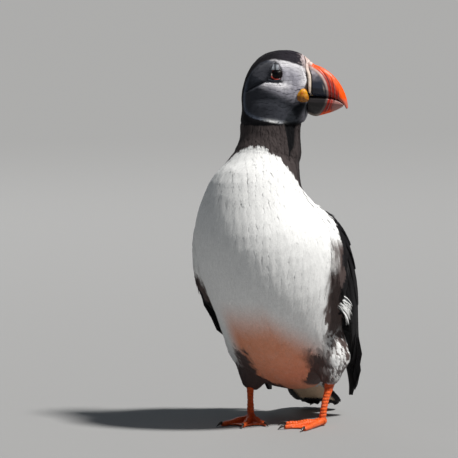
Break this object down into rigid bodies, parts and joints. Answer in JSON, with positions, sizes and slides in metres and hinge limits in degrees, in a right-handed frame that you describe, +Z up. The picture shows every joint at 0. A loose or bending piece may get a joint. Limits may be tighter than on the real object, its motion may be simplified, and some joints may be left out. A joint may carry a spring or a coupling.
{
  "type": "atlantic puffin",
  "caption": "Life-size still model of a standing Atlantic puffin, upright on both webbed feet, breast forward and head turned to its left.",
  "frame": {"origin": "on the floor that the feet stand on, at the bottom centre of the bird's box", "axes": "+Z up; the breast faces -Y, turned about 22 degrees to -X; the bill points along +X"},
  "size_m": [0.1188, 0.1532, 0.269],
  "materials": {
    "white_feather": "soft white contour feathers",
    "grey_feather": "short pale grey face feathers",
    "black_feather": "satin black feathers",
    "bill_horn": "waxy horn, grooved",
    "cere": "cream, pitted",
    "gape_skin": "wrinkled yellow-orange skin",
    "eye": "wet gloss",
    "eye_plate": "dull slate horn",
    "leg_skin": "scaly orange skin",
    "claw": "black horn"
  },
  "bodies": {
    "root": {"bill_lower": "bill_horn", "bill_upper": "bill_horn", "cere": "cere", "claw_left_inner": "claw", "claw_left_middle": "claw", "claw_left_outer": "claw", "claw_right_inner": "claw", "claw_right_middle": "claw", "claw_right_outer": "claw", "eye_left": "eye", "eye_plate_lower_left": "eye_plate", "eye_plate_lower_right": "eye_plate", "eye_plate_upper_left": "eye_plate", "eye_plate_upper_right": "eye_plate", "eye_right": "eye", "foot_left": "leg_skin", "foot_right": "leg_skin", "gape_left": "gape_skin", "gape_right": "gape_skin", "head": "grey_feather", "neck": "black_feather", "tail": "black_feather", "tarsus_left": "leg_skin", "tarsus_right": "leg_skin", "thigh_left": "white_feather", "thigh_right": "white_feather", "trunk": "white_feather", "wing_left": "black_feather", "wing_right": "black_feather"}
  },
  "joints": []
}
